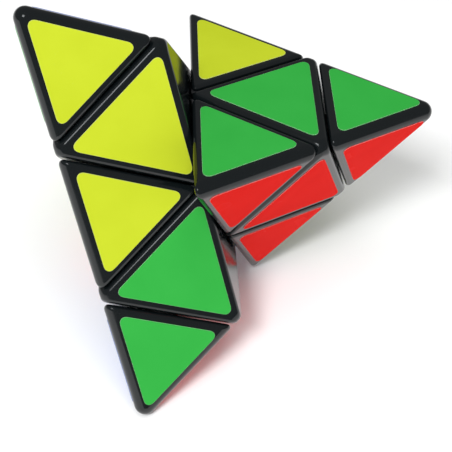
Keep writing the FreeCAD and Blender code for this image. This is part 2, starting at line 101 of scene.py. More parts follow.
class Film(Enum):
    """Colours of the sticker films, in linear light."""

    YELLOW = (0.49, 0.575, 0.024)
    GREEN = (0.034, 0.375, 0.054)
    RED = (0.78, 0.012, 0.008)
    BLUE = (0.005, 0.080, 0.420)

    @property
    def label(self) -> str:
        """Name of the colour inside the names of nodes."""
        return self.name.lower()


class Body(Enum):
    """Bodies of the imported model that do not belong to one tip."""

    MAIN = "main_block"
    LAYER = "turned_layer"

    @classmethod
    def of(cls, corners: tuple[int, ...]) -> "Body":
        """Body that the pieces of these corners ride on."""
        return cls.LAYER if 0 in corners else cls.MAIN

    @property
    def group(self) -> str:
        """Word for the body inside the names of sticker nodes."""
        return "layer" if self is Body.LAYER else "fixed"


@dataclass(frozen=True)
class PuzzleSizes:
    """Sizes that all the mouldings share."""

    edge: float = 0.105
    outer_rounding: float = 0.0025
    cut_rounding: float = 0.0012
    gap: float = 0.00013
    wall: float = 0.002
    layer_turn: float = math.radians(-67)
    bowl_radius: float = 0.0161
    seat_radius: float = 0.0204

    @property
    def face(self) -> float:
        """Distance from the core's middle to an outer face."""
        return self.edge / math.sqrt(24)

    @property
    def deep_cut(self) -> float:
        """Distance from the core's middle to the cut below a corner's layer."""
        return self.edge / math.sqrt(216)

    @property
    def tip_cut(self) -> float:
        """Distance from the core's middle to the cut below a tip."""
        return 5 * self.deep_cut

    @property
    def third(self) -> float:
        """Distance from a face's middle to the middle of the triangles beside it."""
        return self.edge / math.sqrt(27)


def corner_axes() -> tuple[Vector, ...]:
    """Directions of the four corners in the core's frame.

    Returns:
        Unit vectors, corner 0 first.
    """
    axes = [Vector((0.0, 0.0, 1.0))]
    for turn in range(3):
        angle = math.tau * turn / 3
        across = math.sqrt(8) / 3
        axes.append(Vector((across * math.cos(angle), across * math.sin(angle), -1 / 3)))
    return tuple(axes)


AXES = corner_axes()
CORNER_FILMS: tuple[dict[int, Film], ...] = (
    {1: Film.RED, 2: Film.YELLOW, 3: Film.GREEN},
    {0: Film.GREEN, 2: Film.BLUE, 3: Film.YELLOW},
    {0: Film.BLUE, 1: Film.RED, 3: Film.GREEN},
    {0: Film.YELLOW, 1: Film.BLUE, 2: Film.RED},
)
EDGE_PLACES: dict[tuple[int, int], str] = {
    (0, 1): "layer_back",
    (0, 2): "layer_front",
    (0, 3): "layer_low",
    (1, 2): "top_front",
    (1, 3): "top_back",
    (2, 3): "front_back",
}
EDGE_FILMS: dict[tuple[int, int], dict[int, Film]] = {
    (0, 1): {2: Film.BLUE, 3: Film.YELLOW},
    (0, 2): {1: Film.RED, 3: Film.GREEN},
    (0, 3): {1: Film.RED, 2: Film.YELLOW},
    (1, 2): {0: Film.GREEN, 3: Film.YELLOW},
    (1, 3): {0: Film.BLUE, 2: Film.GREEN},
    (2, 3): {0: Film.RED, 1: Film.BLUE},
}


# -------------------------------------------------------------------------- placing

def from_columns(x: Vector, y: Vector, z: Vector, origin: Vector | None = None) -> Matrix:
    """Matrix with these directions as its columns.

    Args:
        x: Direction of the local X axis.
        y: Direction of the local Y axis.
        z: Direction of the local Z axis.
        origin: Where the local origin goes.

    Returns:
        The 4 by 4 matrix.
    """
    turn = Matrix((x.normalized(), y.normalized(), z.normalized())).transposed().to_4x4()
    return Matrix.Translation(origin or Vector()) @ turn


def corner_turn(corner: int) -> Matrix:
    """Turn that carries corner 0 to another corner and the pyramid onto itself.

    Args:
        corner: Number of the corner to go to.

    Returns:
        The rotation in the core's frame.
    """
    if corner == 0:
        return Matrix.Identity(4)
    return Matrix.Rotation(math.pi, 4, AXES[0] + AXES[corner])


def edge_turn(first: int, second: int) -> Matrix:
    """Turn that carries edge 0-1 to another edge and the pyramid onto itself.

    Args:
        first: Corner at one end of the edge.
        second: Corner at its other end.

    Returns:
        The rotation in the core's frame.
    """
    def frame_of(one: int, other: int) -> Matrix:
        """Frame whose Z points to an edge's middle and whose X runs along the edge.

        Args:
            one: Corner at the edge's far end.
            other: Corner at its near end.

        Returns:
            The frame as a matrix.
        """
        outward = AXES[one] + AXES[other]
        along = AXES[one] - AXES[other]
        return from_columns(along, outward.cross(along), outward)

    return frame_of(first, second) @ frame_of(0, 1).inverted()


class RestingPlace:
    """Where the core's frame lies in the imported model, read from its joints."""

    def __init__(self, joints: list[dict], sizes: PuzzleSizes) -> None:
        """Read the core's middle and the directions of two corners.

        Args:
            joints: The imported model's joints.
            sizes: Sizes of the puzzle.
        """
        by_name = {joint["name"]: joint for joint in joints}
        layer = by_name["layer_turn"]
        upward = Vector(layer["axis"]).normalized()
        top = Vector(by_name["tip_top_turn"]["axis"]).normalized()
        level = (top - upward * top.dot(upward)).normalized()
        middle = Vector(layer["pos_m"])
        self.core = from_columns(level, upward.cross(level), upward, middle)
        self.layer = self.core @ Matrix.Rotation(sizes.layer_turn, 4, "Z")

    def of(self, corners: tuple[int, ...]) -> Matrix:
        """Place of the pieces that belong to these corners."""
        return self.layer if Body.of(corners) is Body.LAYER else self.core


# ------------------------------------------------------------------------ modelling

def deselect() -> None:
    """Leave nothing selected."""
    bpy.ops.object.select_all(action="DESELECT")


def pick(*objects: bpy.types.Object) -> None:
    """Select these objects alone and make the first one active."""
    deselect()
    for obj in objects:
        obj.select_set(True)
    bpy.context.view_layer.objects.active = objects[0]


class Workpiece:
    """One mesh on the bench, shaped by operators."""

    def __init__(self, obj: bpy.types.Object) -> None:
        """Take hold of an object."""
        self.obj = obj

    @classmethod
    def just_added(cls, name: str) -> "Workpiece":
        """Take hold of the primitive just added, with its place put into its mesh.

        Args:
            name: Name for the object and its mesh.

        Returns:
            The workpiece.
        """
        obj = bpy.context.active_object
        obj.name = obj.data.name = name
        bpy.ops.object.transform_apply(location=True, rotation=True, scale=True)
        return cls(obj)

    @classmethod
    def block(cls, name: str, width: float) -> "Workpiece":
        """Cube round the core's middle.

        Args:
            name: Name for the object.
            width: Its width.

        Returns:
            The workpiece.
        """
        deselect()
        bpy.ops.mesh.primitive_cube_add(size=width)
        return cls.just_added(name)

    @classmethod
    def ball(cls, name: str, radius: float) -> "Workpiece":
        """Fine sphere round the core's middle.

        Args:
            name: Name for the object.
            radius: Its radius.

        Returns:
            The workpiece.
        """
        deselect()
        bpy.ops.mesh.primitive_uv_sphere_add(segments=BALL_SEGMENTS, ring_count=BALL_RINGS,
                                             radius=radius)
        return cls.just_added(name)

    @classmethod
    def rod(cls, name: str, radius: float, low: float, high: float) -> "Workpiece":
        """Cylinder on the core's Z axis.

        Args:
            name: Name for the object.
            radius: Its radius.
            low: Height of its lower end.
            high: Height of its upper end.

        Returns:
            The workpiece.
        """
        deselect()
        bpy.ops.mesh.primitive_cylinder_add(vertices=ROD_SIDES, radius=radius,
                                            depth=high - low,
                                            location=(0, 0, (low + high) / 2))
        return cls.just_added(name)

    @contextmanager
    def editing(self, mode: str = "EDGE") -> Iterator[None]:
        """Edit mode on this mesh alone, with nothing in it selected.

        Args:
            mode: What is to be selected: VERT, EDGE or FACE.

        Yields:
            Nothing.
        """
        pick(self.obj)
        bpy.ops.object.mode_set(mode="EDIT")
        bpy.ops.mesh.select_mode(type=mode)
        bpy.ops.mesh.select_all(action="DESELECT")
        yield
        bpy.ops.object.mode_set(mode="OBJECT")

    def choose_edges(self, wanted: Callable[[Edge], bool]) -> None:
        """Select the edges that a test wants, in edit mode.

        Args:
            wanted: Test of an edge.
        """
        mesh = bmesh.from_edit_mesh(self.obj.data)
        for edge in mesh.edges:
            edge.select_set(wanted(edge))
        mesh.select_flush_mode()
        bmesh.update_edit_mesh(self.obj.data)

    def slice_off(self, normal: Vector, distance: float) -> None:
        """Cut away what lies beyond a plane and close the cut.

        Args:
            normal: Unit vector square to the plane, towards what goes.
            distance: Distance of the plane from the core's middle, along the normal.
        """
        with self.editing():
            bpy.ops.mesh.select_all(action="SELECT")
            bpy.ops.mesh.bisect(plane_co=normal * distance, plane_no=normal,
                                use_fill=True, clear_outer=True,
                                threshold=SLICE_TOLERANCE)

    def soften(self, wanted: Callable[[Edge], bool], width: float,
               segments: int) -> None:
        """Round the edges that a test wants.

        Args:
            wanted: Test of an edge.
            width: How far the rounding reaches into each face.
            segments: Number of flats that make the rounding.
        """
        with self.editing():
            self.choose_edges(wanted)
            bpy.ops.mesh.bevel(offset_type="OFFSET", offset=width, segments=segments,
                               profile=0.5, affect="EDGES", clamp_overlap=False)

    def true_up(self, wanted: Callable[[Vector], bool], centres: list[Vector],
                radius: float) -> None:
        """Move rounded-over points to one distance from the lines between centres.

        Args:
            wanted: Test of a point's place.
            centres: Centres of the corners' spheres, each joined to all the others.
            radius: Distance that the points get.
        """
        lines = [(centres[a], centres[b] - centres[a])
                 for a in range(len(centres)) for b in range(a)]
        with self.editing("VERT"):
            mesh = bmesh.from_edit_mesh(self.obj.data)
            for spot in mesh.verts:
                if not wanted(spot.co):
                    continue
                feet = [start + along * min(1.0, max(0.0, (spot.co - start).dot(along)
                                                     / along.length_squared))
                        for start, along in lines]
                foot = min(feet, key=lambda point: (spot.co - point).length)
                spot.co = foot + (spot.co - foot).normalized() * radius
            bmesh.update_edit_mesh(self.obj.data)

    def carve(self, tool: "Workpiece") -> None:
        """Take a tool's volume away and remove the tool.

        Args:
            tool: The workpiece to cut with, which is used up.
        """
        pick(self.obj)
        bpy.ops.object.modifier_add(type="BOOLEAN")
        cutting = self.obj.modifiers[-1]
        cutting.operation = "DIFFERENCE"
        cutting.solver = "EXACT"
        cutting.object = tool.obj
        bpy.ops.object.modifier_apply(modifier=cutting.name)
        tool.discard()

    def smooth(self, angle: float = math.radians(32)) -> None:
        """Shade the roundings smooth and keep the flats flat.

        Args:
            angle: Edges sharper than this stay crisp.
        """
        pick(self.obj)
        bpy.ops.object.shade_smooth_by_angle(angle=angle)
        bpy.ops.object.modifier_add(type="WEIGHTED_NORMAL")
        weighting = self.obj.modifiers[-1]
        weighting.keep_sharp = True
        weighting.weight = WEIGHT_OF_FACES
        bpy.ops.object.modifier_apply(modifier=weighting.name)

    def copy_to(self, name: str, place: Matrix) -> bpy.types.Object:
        """Copy with its own mesh, at its place.

        Args:
            name: Name for the copy.
            place: Where the core's frame goes for it.

        Returns:
            The copy, its object at the origin.
        """
        copied = self.obj.copy()
        copied.data = self.obj.data.copy()
        copied.name = copied.data.name = name
        copied.data.transform(place)
        bpy.context.scene.collection.objects.link(copied)
        return copied

    def discard(self) -> None:
        """Remove the workpiece and its mesh."""
        mesh = self.obj.data
        bpy.data.objects.remove(self.obj)
        bpy.data.meshes.remove(mesh)


def join(name: str, objects: list[bpy.types.Object]) -> bpy.types.Object:
    """Make several objects one.

    Args:
        name: Name for the result.
        objects: The objects, which are used up.

    Returns:
        The joined object.
    """
    pick(*objects)
    if len(objects) > 1:
        bpy.ops.object.join()
    joined = bpy.context.view_layer.objects.active
    joined.name = joined.data.name = name
    return joined


def mount(piece: bpy.types.Object, body: str, slot: str, material: Material,
          *nodes: str) -> None:
    """Give a piece its body, its finish and the nodes it stands for.

    Args:
        piece: The finished piece.
        body: Name of the body that it rides on.
        slot: Not used.
        material: Its material.
        *nodes: Names of the nodes that it replaces.
    """
    piece.data.materials.clear()
    piece.data.materials.append(material)
    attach(piece, body)
    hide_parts(*nodes)
    LOG.info("%s rides on %s, %d faces", piece.name, body, len(piece.data.polygons))


# ------------------------------------------------------------------ shared effects

class Graph:
    """Nodes of one shader tree, with short ways to add and join them."""

    spacing = 180
    colour_a, colour_b, colour_out = 6, 7, 2  # a Mix node's sockets for colours

    def __init__(self, tree: bpy.types.NodeTree) -> None:
        """Take hold of a tree."""
        self.tree = tree

    def add(self, kind: str, inputs: dict | None = None, **settings) -> bpy.types.Node:
        """Add a node.

        Args:
            kind: Type of the node.
            inputs: Constant or source socket for each input that is set.
            **settings: Properties of the node.

        Returns:
            The node.
        """
        node = self.tree.nodes.new(kind)
        node.location = (self.spacing * len(self.tree.nodes), 0)
        for name, setting in settings.items():
            setattr(node, name, setting)
        for name, source in (inputs or {}).items():
            if isinstance(source, Socket):
                self.tree.links.new(source, node.inputs[name])
            else:
                node.inputs[name].default_value = source
        return node

    def noise(self, vector: Socket, scale: float | Socket, detail: float = 3.0) -> Socket:
        """Grey noise over the surface.

        Args:
            vector: Where to read it.
            scale: How many lumps to a metre, as a number or a socket.
            detail: How many finer layers it has.

        Returns:
            The socket with its value.
        """
        node = self.add("ShaderNodeTexNoise", {"Vector": vector, "Scale": scale,
                                               "Detail": detail})
        return node.outputs["Fac"]

    def stretch(self, value: Socket, low: float, high: float, to_low: float = 0.0,
                to_high: float = 1.0) -> Socket:
        """Map one range of values onto another.

        Args:
            value: Socket with the value.
            low: Start of the range that is read.
            high: End of the range that is read.
            to_low: What the start becomes.
            to_high: What the end becomes.

        Returns:
            The socket with the new value.
        """
        node = self.add("ShaderNodeMapRange", {"Value": value, "From Min": low,
                                               "From Max": high, "To Min": to_low,
                                               "To Max": to_high})
        return node.outputs["Result"]

    def math(self, operation: str, first: Socket | float, second: Socket | float) -> Socket:
        """Arithmetic on two values.

        Args:
            operation: Name of the operation.
            first: First value or socket.
            second: Second value or socket.

        Returns:
            The socket with the result.
        """
        node = self.add("ShaderNodeMath", {0: first, 1: second}, operation=operation)
        return node.outputs["Value"]

    def blend(self, mask: Socket, first: tuple | Socket, second: tuple) -> Socket:
        """Colour that goes from one to another with a mask.

        Args:
            mask: Socket with the mask.
            first: Colour, or socket with it, where the mask is 0.
            second: Colour where the mask is 1.

        Returns:
            The socket with the colour.
        """
        start = first if isinstance(first, Socket) else (*first, 1.0)
        node = self.add("ShaderNodeMix", {"Factor": mask, self.colour_a: start,
                                          self.colour_b: (*second, 1.0)}, data_type="RGBA")
        return node.outputs[self.colour_out]


class Effect:
    """A shader node group with named inputs and outputs, built once."""

    title = "effect"
    numbers: dict[str, float] = {}
    results: tuple[str, ...] = ()

    def __init__(self) -> None:
        """Make the group and its sockets, and have its nodes added."""
        self.group = bpy.data.node_groups.new(self.title, "ShaderNodeTree")
        for name, number in self.numbers.items():
            socket = self.group.interface.new_socket(name, in_out="INPUT",
                                                     socket_type="NodeSocketFloat")
            socket.default_value = number
        for name in self.results:
            self.group.interface.new_socket(name, in_out="OUTPUT",
                                            socket_type="NodeSocketFloat")
        graph = Graph(self.group)
        given = graph.add("NodeGroupInput").outputs
        where = graph.add("ShaderNodeTexCoord").outputs["Object"]
        graph.add("NodeGroupOutput", self.build(graph, given, where))

    def build(self, graph: Graph, given: Outputs, where: Socket) -> dict[str, Socket]:
        """Add the effect's nodes.

        Args:
            graph: The group's tree.
            given: The group's inputs.
            where: Socket with the place on the object.

        Returns:
            The socket for each output.
        """
        raise NotImplementedError

    def use(self, graph: Graph, **numbers: float) -> Outputs:
        """Place the effect in a material.

        Args:
            graph: The material's tree.
            **numbers: Input values, with _ for a space in an input's name.

        Returns:
            The outputs of the placed group.
        """
        node = graph.add("ShaderNodeGroup", node_tree=self.group)
        for name, number in numbers.items():
            node.inputs[name.replace("_", " ")].default_value = number
        return node.outputs


class MouldSkin(Effect):
    """Faint waviness and grain that a mould leaves, and finger smudges."""

    title = "mould_skin"
    numbers = {"grain scale": 2600.0, "wave scale": 70.0, "smudge scale": 55.0}
    results = ("height", "smudge")
    wave_share = 6.0
    smudge_range = (0.42, 0.68)

    def build(self, graph: Graph, given: Outputs, where: Socket) -> dict[str, Socket]:
        """Add the grain, the waves and the smudges.

        Args:
            graph: The group's tree.
            given: The group's inputs.
            where: Socket with the place on the object.

        Returns:
            The socket for each output.
        """
        grain = graph.noise(where, given["grain scale"], 2.0)
        wave = graph.noise(where, given["wave scale"], 1.0)
        smudge = graph.noise(where, given["smudge scale"], 5.0)
        low = graph.math("MULTIPLY", wave, self.wave_share)
        return {"height": graph.math("ADD", grain, low),
                "smudge": graph.stretch(smudge, *self.smudge_range)}


class EdgeWear(Effect):
    """Masks of the thin line along edges, whole and rubbed only in patches; on the films
    the patchy one is partly wear and partly a painted highlight, and the whole one partly
    the white core and partly a painted highlight.
    """

    title = "edge_wear"
    numbers = {"width": 0.0004, "patch scale": 420.0}
    results = ("wear", "line")
    match_range = (0.985, 0.86)
    patch_range = (0.50, 0.66)

    def build(self, graph: Graph, given: Outputs, where: Socket) -> dict[str, Socket]:
        """Compare the true normal with one rounded over the width, and break it up.

        Args:
            graph: The group's tree.
            given: The group's inputs.
            where: Socket with the place on the object.

        Returns:
            The socket for each output.
        """
        rounded = graph.add("ShaderNodeBevel", {"Radius": given["width"]}, samples=4)
        true = graph.add("ShaderNodeNewGeometry").outputs["Normal"]
        match = graph.add("ShaderNodeVectorMath", {0: rounded.outputs["Normal"], 1: true},
                          operation="DOT_PRODUCT").outputs["Value"]
        line = graph.stretch(match, *self.match_range)
        patches = graph.stretch(graph.noise(where, given["patch scale"], 4.0),
                                *self.patch_range)
        return {"wear": graph.math("MULTIPLY", line, patches), "line": line}


class FineDust(Effect):
    """Mask of sparse, very small specks."""

    title = "fine_dust"
    numbers = {"speck scale": 900.0, "spread scale": 60.0}
    results = ("dust",)
    speck_range = (0.10, 0.05)
    spread_range = (0.50, 0.62)

    def build(self, graph: Graph, given: Outputs, where: Socket) -> dict[str, Socket]:
        """Keep the middles of some cells.

        Args:
            graph: The group's tree.
            given: The group's inputs.
            where: Socket with the place on the object.

        Returns:
            The socket for each output.
        """
        cells = graph.add("ShaderNodeTexVoronoi", {"Vector": where,
                                                   "Scale": given["speck scale"]})
        speck = graph.stretch(cells.outputs["Distance"], *self.speck_range)
        spread = graph.stretch(graph.noise(where, given["spread scale"], 2.0),
                               *self.spread_range)
        return {"dust": graph.math("MULTIPLY", speck, spread)}


class FilmSkin(Effect):
    """Slight orange peel of a vinyl film, and the tone of its ink."""

    title = "film_skin"
    numbers = {"peel scale": 1500.0, "tone scale": 90.0}
    results = ("height", "tone")
    tone_range = (0.35, 0.65)

    def build(self, graph: Graph, given: Outputs, where: Socket) -> dict[str, Socket]:
        """Add the peel and the tone.

        Args:
            graph: The group's tree.
            given: The group's inputs.
            where: Socket with the place on the object.

        Returns:
            The socket for each output.
        """
        peel = graph.noise(where, given["peel scale"], 2.0)
        tone = graph.noise(where, given["tone scale"], 4.0)
        return {"height": peel, "tone": graph.stretch(tone, *self.tone_range)}


class DrawnMetal(Effect):
    """Fine tool lines and dull spots on metal."""

    title = "drawn_metal"
    numbers = {"line scale": 5200.0, "spot scale": 700.0}
    results = ("lines", "spots")
    spot_range = (0.4, 0.65)

    def build(self, graph: Graph, given: Outputs, where: Socket) -> dict[str, Socket]:
        """Add the lines and the spots.

        Args:
            graph: The group's tree.
            given: The group's inputs.
            where: Socket with the place on the object.

        Returns:
            The socket for each output.
        """
        lines = graph.noise(where, given["line scale"], 1.0)
        spots = graph.noise(where, given["spot scale"], 4.0)
        return {"lines": lines, "spots": graph.stretch(spots, *self.spot_range)}


class Effects:
    """All the shared effects, each built once."""

    def __init__(self) -> None:
        """Build them."""
        self.skin = MouldSkin()
        self.wear = EdgeWear()
        self.dust = FineDust()
        self.film = FilmSkin()
        self.metal = DrawnMetal()


# ------------------------------------------------------------------------- finishes

def new_material(name: str, constants: dict) -> tuple[Material, Graph, bpy.types.Node]:
    """Start a material.

    Args:
        name: Its name.
        constants: Settings on the shader's own sockets.

    Returns:
        The material, its tree and its Principled BSDF.
    """
    material = bpy.data.materials.new(name)
    material.use_nodes = True
    graph = Graph(material.node_tree)
    shader = material.node_tree.nodes["Principled BSDF"]
    for socket, setting in constants.items():
        shader.inputs[socket].default_value = setting
    return material, graph, shader


def connect(graph: Graph, shader: bpy.types.Node, height: Socket, depth: float,
            **sources: Socket) -> None:
    """Feed a shader with what changes over its surface.

    Args:
        graph: The material's tree.
        shader: The shader.
        height: Socket with the relief.
        depth: Depth of the relief in metres.
        **sources: Source for each socket, with _ for a space in its name.
    """
    relief = graph.add("ShaderNodeBump", {"Height": height, "Distance": depth})
    graph.tree.links.new(relief.outputs["Normal"], shader.inputs["Normal"])
    for name, source in sources.items():
        graph.tree.links.new(source, shader.inputs[name.replace("_", " ")])


@dataclass(frozen=True)
class PolishedPlastic:
    """Black plastic from a polished mould, a little rubbed along its edges."""

    name: str = "shell_plastic"
    ior: float = 1.52
    colour: tuple = (0.0040, 0.0060, 0.0068)
    rubbed: tuple = (0.05, 0.051, 0.054)
    rubbed_shows: float = 0.25
    rubbed_width: float = 0.00035
    rubbed_roughness: float = 0.16
    dust: tuple = (0.3, 0.3, 0.3)
    dust_shows: float = 0.06
    roughness: tuple = (0.09, 0.21)
    relief: float = 1.6e-6

    def material(self, effects: Effects) -> Material:
        """Make the material.

        Args:
            effects: The shared effects.

        Returns:
            The material.
        """
        material, graph, shader = new_material(self.name, {"IOR": self.ior})
        skin = effects.skin.use(graph, grain_scale=2600.0)
        wear = effects.wear.use(graph, width=self.rubbed_width)["wear"]
        dust = effects.dust.use(graph, speck_scale=1100.0)["dust"]
        faint = graph.math("MULTIPLY", wear, self.rubbed_shows)
        colour = graph.blend(graph.math("MULTIPLY", dust, self.dust_shows),
                             graph.blend(faint, self.colour, self.rubbed), self.dust)
        gloss = graph.stretch(skin["smudge"], 0.0, 1.0, *self.roughness)
        rough = graph.math("ADD", gloss,
                           graph.math("MULTIPLY", wear, self.rubbed_roughness))
        connect(graph, shader, skin["height"], self.relief, Base_Color=colour,
                Roughness=rough)
        return material


@dataclass(frozen=True)
class MouldedPlastic:
    """Black plastic of the mechanism, matt as it leaves the mould."""

    name: str = "inner_plastic"
    ior: float = 1.5
    colour: tuple = (0.024, 0.025, 0.027)
    pale: tuple = (0.055, 0.056, 0.06)
    pale_shows: float = 0.35
    rubbed: tuple = (0.11, 0.11, 0.115)
    rubbed_shows: float = 0.6
    rubbed_width: float = 0.0003
    roughness: tuple = (0.42, 0.6)
    relief: float = 2.5e-6

    def material(self, effects: Effects) -> Material:
        """Make the material.

        Args:
            effects: The shared effects.

        Returns:
            The material.
        """
        material, graph, shader = new_material(self.name, {"IOR": self.ior})
        skin = effects.skin.use(graph, grain_scale=3800.0, wave_scale=120.0,
                                smudge_scale=160.0)
        wear = effects.wear.use(graph, width=self.rubbed_width, patch_scale=700.0)["wear"]
        tone = graph.blend(graph.math("MULTIPLY", skin["smudge"], self.pale_shows),
                           self.colour, self.pale)
        colour = graph.blend(graph.math("MULTIPLY", wear, self.rubbed_shows), tone,
                             self.rubbed)
        rough = graph.stretch(skin["smudge"], 0.0, 1.0, *self.roughness)
        connect(graph, shader, skin["height"], self.relief, Base_Color=colour,
                Roughness=rough)
        return material


@dataclass(frozen=True)
class VinylFilm:
    """Vinyl sticker film, printed over a white core that shows at its cut edge. Along its
    edges it is painted paler: the white core band is strong enough to also stand in for a
    highlight line, and paler ink in patches is partly wear and partly a painted highlight.
    """

    film: Film
    ior: float = 1.45
    specular: float = 0.005
    roughness: tuple = (0.24, 0.28)
    relief: float = 1.2e-6
    # The film's white core, painted along every edge strongly enough to also stand in for a
    # highlight line.
    core: tuple = (0.86, 0.86, 0.84)
    core_shows: float = 0.8
    core_width: float = 0.00008
    # Paler ink in patches along the film's edges: partly wear, partly a painted highlight.
    worn_shows: float = 0.8
    worn_width: float = 0.00016
    dust: tuple = (0.7, 0.7, 0.68)
    dust_shows: float = 0.04

    def ink(self, share: float, added: float) -> tuple:
        """The film's colour times a share, with some light added."""
        return tuple(share * part + added for part in self.film.value)

    def material(self, effects: Effects) -> Material:
        """Make the material.

        Args:
            effects: The shared effects.

        Returns:
            The material.
        """
        material, graph, shader = new_material(
            f"sticker_{self.film.label}",
            {"IOR": self.ior, "Specular IOR Level": self.specular})
        skin = effects.film.use(graph, peel_scale=1500.0)
        # Patchy edge mask: wear, and on the films a painted highlight as well.
        wear = effects.wear.use(graph, width=self.worn_width, patch_scale=300.0)["wear"]
        # A thin pale band on every edge: the white core, and a painted highlight.
        rim = effects.wear.use(graph, width=self.core_width)["line"]
        dust = effects.dust.use(graph, speck_scale=750.0, spread_scale=45.0)["dust"]
        ink = graph.blend(skin["tone"], self.ink(0.98, 0.0), self.ink(1.02, 0.002))
        # Ink with its edges painted pale: white core and painted highlight.
        edged_with_core_and_highlight = graph.blend(graph.math("MULTIPLY", rim, self.core_shows), ink, self.core)
        # Paler ink along the edges: wear, and a painted highlight line.
        scuffed_and_highlight = graph.blend(graph.math("MULTIPLY", wear, self.worn_shows), edged_with_core_and_highlight,
                           self.ink(0.6, 0.3))
        colour = graph.blend(graph.math("MULTIPLY", dust, self.dust_shows), scuffed_and_highlight,
                             self.dust)
        rough = graph.stretch(skin["tone"], 0.0, 1.0, *self.roughness)
        connect(graph, shader, skin["height"], self.relief, Base_Color=colour,
                Roughness=rough)
        return material


@dataclass(frozen=True)
class Steel:
    """Plated or drawn steel."""

    name: str
    colour: tuple
    dull: tuple
    roughness: tuple
    line_scale: float = 5200.0
    relief: float = 3e-6

    def material(self, effects: Effects) -> Material:
        """Make the material.

        Args:
            effects: The shared effects.

        Returns:
            The material.
        """
        material, graph, shader = new_material(self.name, {"Metallic": 1.0})
        metal = effects.metal.use(graph, line_scale=self.line_scale)
        colour = graph.blend(metal["spots"], self.colour, self.dull)
        rough = graph.stretch(metal["spots"], 0.0, 1.0, *self.roughness)
        connect(graph, shader, metal["lines"], self.relief, Base_Color=colour,
                Roughness=rough)
        return material


ZINC_STEEL = Steel("zinc_steel", (0.62, 0.64, 0.67), (0.48, 0.50, 0.54), (0.22, 0.42))
SPRING_STEEL = Steel("spring_steel", (0.42, 0.42, 0.43), (0.30, 0.29, 0.28), (0.26, 0.45),
                     7000.0)


class Finishes:
    """Materials of the puzzle, made once each."""

    def __init__(self) -> None:
        """Make them."""
        effects = Effects()
        self.shell = PolishedPlastic().material(effects)
        self.inner = MouldedPlastic().material(effects)
        self.zinc = ZINC_STEEL.material(effects)
        self.spring = SPRING_STEEL.material(effects)
        self.films = {film: VinylFilm(film).material(effects) for film in Film}


# ------------------------------------------------------------------------ mouldings

@dataclass(frozen=True)
class Cut:
    """A flat cut square to a corner's axis."""

    corner: int
    distance: float
    keep_above: bool

    @property
    def outward(self) -> Vector:
        """Direction out of the piece at this cut."""
        return AXES[self.corner] * (-1 if self.keep_above else 1)

    @property
    def reach(self) -> float:
        """Distance of the cut from the core's middle, along its outward direction."""
        return -self.distance if self.keep_above else self.distance

    def moved_in(self, amount: float) -> "Cut":
        """The same cut, further into the piece."""
        shift = amount if self.keep_above else -amount
        return Cut(self.corner, self.distance + shift, self.keep_above)

    def holds(self, edge: Edge) -> bool:
        """Whether an edge lies in the cut."""
        return all(abs(self.outward.dot(spot.co) - self.reach) < ON_PLANE
                   for spot in edge.verts)


class Moulding:
    """One kind of hollow moulding, shaped in the core's frame at corner or edge 0.

    Its outer faces are named by the corners opposite them, and edge_factor is how far
    the rounding of a cut edge reaches into each face, for a radius of 1.
    """

    title = "moulding"
    opposite: tuple[int, ...] = ()
    edge_factor = math.sqrt(2)

    def __init__(self, sizes: PuzzleSizes) -> None:
        """Keep the shared sizes."""
        self.sizes = sizes

    def cuts(self) -> list[Cut]:
        """Flat cuts that part the piece from its neighbours."""
        raise NotImplementedError

    def faces(self) -> list[Cut]:
        """Outer faces of the pyramid that the piece has."""
        return [Cut(corner, -self.sizes.face, True) for corner in self.opposite]

    def trims(self) -> list[tuple[Vector, float]]:
        """Planes that take the points off sharp corners: direction and distance."""
        return []

    def rounded_pyramid(self) -> Workpiece:
        """The whole pyramid, with its edges and corners rounded.

        Returns:
            The workpiece that a piece is cut from.
        """
        sizes = self.sizes
        deselect()
        bpy.ops.mesh.primitive_cone_add(
            vertices=3, radius1=sizes.edge / math.sqrt(3), radius2=0.0,
            depth=4 * sizes.face, location=(0, 0, sizes.face),
            rotation=(0, 0, -math.pi / 2))
        blank = Workpiece.just_added(self.title)
        radius = sizes.outer_rounding
        blank.soften(lambda edge: True, radius * math.sqrt(2), OUTER_STEPS)
        centres = [axis * 3 * (sizes.face - radius) for axis in AXES]
        blank.true_up(lambda spot: all(-axis.dot(spot) < sizes.face - ON_PLANE
                                       for axis in AXES), centres, radius)
        return blank

    def outside(self) -> Workpiece:
        """The piece's outer shape, with its cut edges rounded.

        Returns:
            The workpiece.
        """
        piece = self.rounded_pyramid()
        cuts = self.cuts()
        for cut in cuts:
            piece.slice_off(cut.outward, cut.reach)
        trims = self.trims()
        for direction, distance in trims:
            piece.slice_off(direction, distance)

        def on_a_cut(edge: Edge) -> bool:
            """Whether the edge lies in one of the cuts or trims."""
            on_trim = any(all(abs(way.dot(spot.co) - far) < ON_PLANE for spot in edge.verts)
                          for way, far in trims)
            return on_trim or any(cut.holds(edge) for cut in cuts)

        piece.soften(on_a_cut, self.sizes.cut_rounding * self.edge_factor, CUT_STEPS)
        return piece

    def hollow(self, planes: list[Cut]) -> Workpiece:
        """Block between flat planes, used to hollow a piece.

        Args:
            planes: The planes.

        Returns:
            The workpiece.
        """
        block = Workpiece.block(f"{self.title}_hollow", 3 * self.sizes.edge)
        for plane in planes:
            block.slice_off(plane.outward, plane.reach)
        return block

    def shell(self) -> Workpiece:
        """The finished moulding.

        Returns:
            The workpiece to copy.
        """
        raise NotImplementedError


class TipMoulding(Moulding):
    """Hollow tip with three outer faces, open towards the axial piece."""

    title = "tip"
    opposite = (1, 2, 3)

    def cuts(self) -> list[Cut]:
        """The cut below the tip."""
        return [Cut(0, self.sizes.tip_cut + self.sizes.gap, True)]

    def shell(self) -> Workpiece:
        """Outer shape less the space inside.

        Returns:
            The workpiece to copy.
        """
        piece = self.outside()
        inner = [face.moved_in(self.sizes.wall) for face in self.faces()]
        opening = self.cuts()[0].moved_in(-4 * self.sizes.wall)
        piece.carve(self.hollow([*inner, opening]))
        piece.smooth()
        return piece


